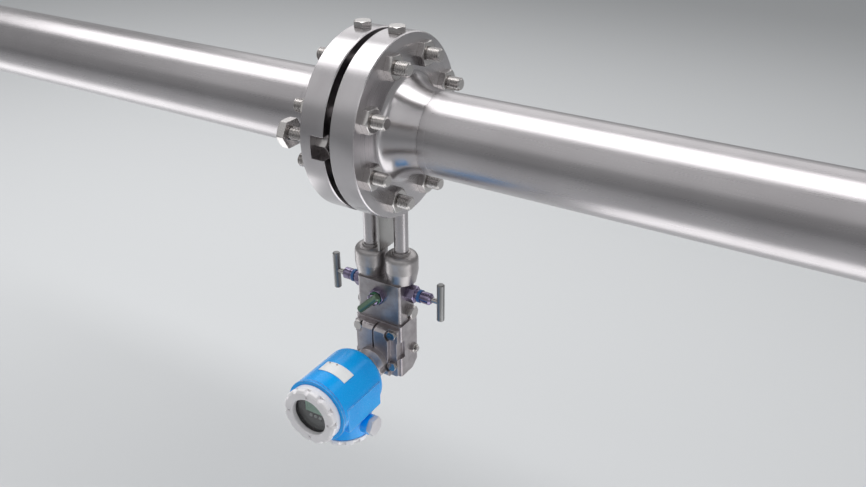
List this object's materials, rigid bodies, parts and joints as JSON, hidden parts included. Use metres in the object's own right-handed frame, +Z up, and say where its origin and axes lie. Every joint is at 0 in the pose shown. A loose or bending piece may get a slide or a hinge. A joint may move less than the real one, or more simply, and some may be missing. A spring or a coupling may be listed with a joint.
{
  "type": "orifice plate flow meter",
  "caption": "Straight meter run with an orifice flange union, a tabbed orifice plate, a valve manifold and a differential pressure transmitter with a display.",
  "frame": {"origin": "centre of the orifice plate on the pipe's axis", "axes": "+X along the pipe with the flow, +Z up towards the tap plugs, -Y towards the side that the display faces"},
  "size_m": [1.68, 0.3296, 0.5865],
  "materials": {
    "pipe_steel": "polished stainless pipe, drawn finish",
    "flange_steel": "turned stainless, satin",
    "weld_steel": "brushed weld bead",
    "bolt_steel": "bright stainless bolting",
    "plate_steel": "ground sheet",
    "gasket": "compressed fibre sheet",
    "adapter_steel": "polished turned steel",
    "manifold_steel": "bead-blasted steel",
    "valve_chrome": "dark bright plating",
    "handle_steel": "satin bar",
    "blue_marker": "plastic",
    "green_marker": "plastic",
    "seal": "moulded rubber",
    "seal_white": "fluoropolymer",
    "cell_steel": "blasted casting with machined faces",
    "housing_paint": "satin polyurethane paint",
    "cover_paint": "satin paint",
    "sight_glass": "clear",
    "display_black": "moulded",
    "display_screen": "liquid crystal display",
    "key_plastic": "moulded",
    "board": "potted electronics",
    "terminal_plastic": "moulded",
    "brass_screw": "plain turned brass",
    "nameplate": "bare brushed sheet",
    "plug_paint": "satin"
  },
  "bodies": {
    "line": {"inlet_pipe": "pipe_steel", "outlet_pipe": "pipe_steel", "girth_welds": "weld_steel", "upstream_flange": "flange_steel", "downstream_flange": "flange_steel", "orifice_plate": "plate_steel", "flange_gaskets": "gasket", "flange_studs": "bolt_steel", "flange_nuts": "bolt_steel", "tap_plugs": "bolt_steel", "jack_nuts": "bolt_steel", "tap_nipples": "pipe_steel", "process_adapters": "adapter_steel", "manifold_body": "manifold_steel", "valve_bonnets": "valve_chrome", "packing_nuts": "valve_chrome", "isolation_marker_rings": "blue_marker", "equalizing_marker_ring": "green_marker", "manifold_plugs": "bolt_steel", "manifold_seals": "seal_white", "process_flange": "cell_steel", "manifold_bolts": "bolt_steel", "upstream_vent_body": "bolt_steel", "downstream_vent_body": "bolt_steel", "sensor_module": "cell_steel", "module_seals": "seal_white", "flange_bolts": "bolt_steel"},
    "upstream_jack_screw": {"upstream_jack_screw": "bolt_steel"},
    "downstream_jack_screw": {"downstream_jack_screw": "bolt_steel"},
    "upstream_needle": {"upstream_needle": "bolt_steel"},
    "upstream_spindle": {"upstream_stem": "bolt_steel", "upstream_handle": "handle_steel"},
    "downstream_needle": {"downstream_needle": "bolt_steel"},
    "downstream_spindle": {"downstream_stem": "bolt_steel", "downstream_handle": "handle_steel"},
    "equalizing_needle": {"equalizing_needle": "bolt_steel"},
    "equalizing_spindle": {"equalizing_stem": "bolt_steel", "equalizing_handle": "handle_steel"},
    "upstream_vent_screw": {"upstream_vent_screw": "bolt_steel"},
    "downstream_vent_screw": {"downstream_vent_screw": "bolt_steel"},
    "transmitter": {"housing": "housing_paint", "lock_screw": "bolt_steel", "display_module": "display_black", "display_screen": "display_screen", "electronics_module": "board", "terminal_block": "terminal_plastic", "terminal_screws": "brass_screw", "blanking_plug": "plug_paint", "nameplate": "nameplate", "nameplate_pins": "bolt_steel"},
    "display_cover_seal": {"display_cover_seal": "seal"},
    "display_cover": {"display_cover": "cover_paint", "sight_glass": "sight_glass", "glass_retainer": "display_black"},
    "terminal_cover_seal": {"terminal_cover_seal": "seal"},
    "terminal_cover": {"terminal_cover": "cover_paint"},
    "left_key": {"left_key": "key_plastic"},
    "middle_key": {"middle_key": "key_plastic"},
    "right_key": {"right_key": "key_plastic"}
  },
  "joints": [
    {"name": "upstream_jack_turn", "type": "hinge", "parent": "line", "child": "upstream_jack_screw", "pos_m": [-0.05, -0.1001, 0], "axis": [-1, 0, 0], "range_deg": [0, 1080]},
    {"name": "downstream_jack_turn", "type": "hinge", "parent": "line", "child": "downstream_jack_screw", "pos_m": [0.05, 0.1001, 0], "axis": [1, 0, 0], "range_deg": [0, 1080]},
    {"name": "upstream_needle_slide", "type": "slide", "parent": "line", "child": "upstream_needle", "axis": [-1, 0, 0], "range_m": [-0.00501, 0]},
    {"name": "upstream_valve_turn", "type": "hinge", "parent": "upstream_needle", "child": "upstream_spindle", "pos_m": [-0.08, 0, -0.262], "axis": [-1, 0, 0], "range_deg": [-900, 0]},
    {"name": "downstream_needle_slide", "type": "slide", "parent": "line", "child": "downstream_needle", "axis": [1, 0, 0], "range_m": [-0.00501, 0]},
    {"name": "downstream_valve_turn", "type": "hinge", "parent": "downstream_needle", "child": "downstream_spindle", "pos_m": [0.08, 0, -0.262], "axis": [1, 0, 0], "range_deg": [-900, 0]},
    {"name": "equalizing_needle_slide", "type": "slide", "parent": "line", "child": "equalizing_needle", "axis": [0, -1, 0], "range_m": [0, 0.00501]},
    {"name": "equalizing_valve_turn", "type": "hinge", "parent": "equalizing_needle", "child": "equalizing_spindle", "pos_m": [0, -0.04, -0.267], "axis": [0, -1, 0], "range_deg": [0, 900]},
    {"name": "upstream_vent_turn", "type": "hinge", "parent": "line", "child": "upstream_vent_screw", "pos_m": [-0.045, 0.0065, -0.364], "axis": [-1, 0, 0], "range_deg": [0, 360]},
    {"name": "downstream_vent_turn", "type": "hinge", "parent": "line", "child": "downstream_vent_screw", "pos_m": [0.045, 0.0065, -0.364], "axis": [1, 0, 0], "range_deg": [0, 360]},
    {"name": "housing_swivel", "type": "hinge", "parent": "line", "child": "transmitter", "pos_m": [0, -0.079, -0.374], "axis": [0, -1, 0], "range_deg": [-180, 180]},
    {"name": "display_cover_travel", "type": "slide", "parent": "transmitter", "child": "display_cover_seal", "axis": [0, -1, 0], "range_m": [0, 0.00751]},
    {"name": "display_cover_turn", "type": "hinge", "parent": "display_cover_seal", "child": "display_cover", "pos_m": [0, -0.19, -0.374], "axis": [0, -1, 0], "range_deg": [0, 1800]},
    {"name": "terminal_cover_travel", "type": "slide", "parent": "transmitter", "child": "terminal_cover_seal", "axis": [0, 0, -1], "range_m": [0, 0.00601]},
    {"name": "terminal_cover_turn", "type": "hinge", "parent": "terminal_cover_seal", "child": "terminal_cover", "pos_m": [0, -0.121, -0.443], "axis": [0, 0, -1], "range_deg": [0, 1440]},
    {"name": "left_key_press", "type": "slide", "parent": "transmitter", "child": "left_key", "axis": [0, 1, 0], "range_m": [0, 0.0006], "stiffness_N_per_m": 800},
    {"name": "middle_key_press", "type": "slide", "parent": "transmitter", "child": "middle_key", "axis": [0, 1, 0], "range_m": [0, 0.0006], "stiffness_N_per_m": 800},
    {"name": "right_key_press", "type": "slide", "parent": "transmitter", "child": "right_key", "axis": [0, 1, 0], "range_m": [0, 0.0006], "stiffness_N_per_m": 800}
  ],
  "couplings": [
    {"joint": "upstream_needle_slide", "follows": "upstream_valve_turn", "m_per_rad": 0.00031831},
    {"joint": "downstream_needle_slide", "follows": "downstream_valve_turn", "m_per_rad": 0.00031831},
    {"joint": "equalizing_needle_slide", "follows": "equalizing_valve_turn", "m_per_rad": 0.00031831},
    {"joint": "display_cover_travel", "follows": "display_cover_turn", "m_per_rad": 0.00023873},
    {"joint": "terminal_cover_travel", "follows": "terminal_cover_turn", "m_per_rad": 0.00023873}
  ]
}
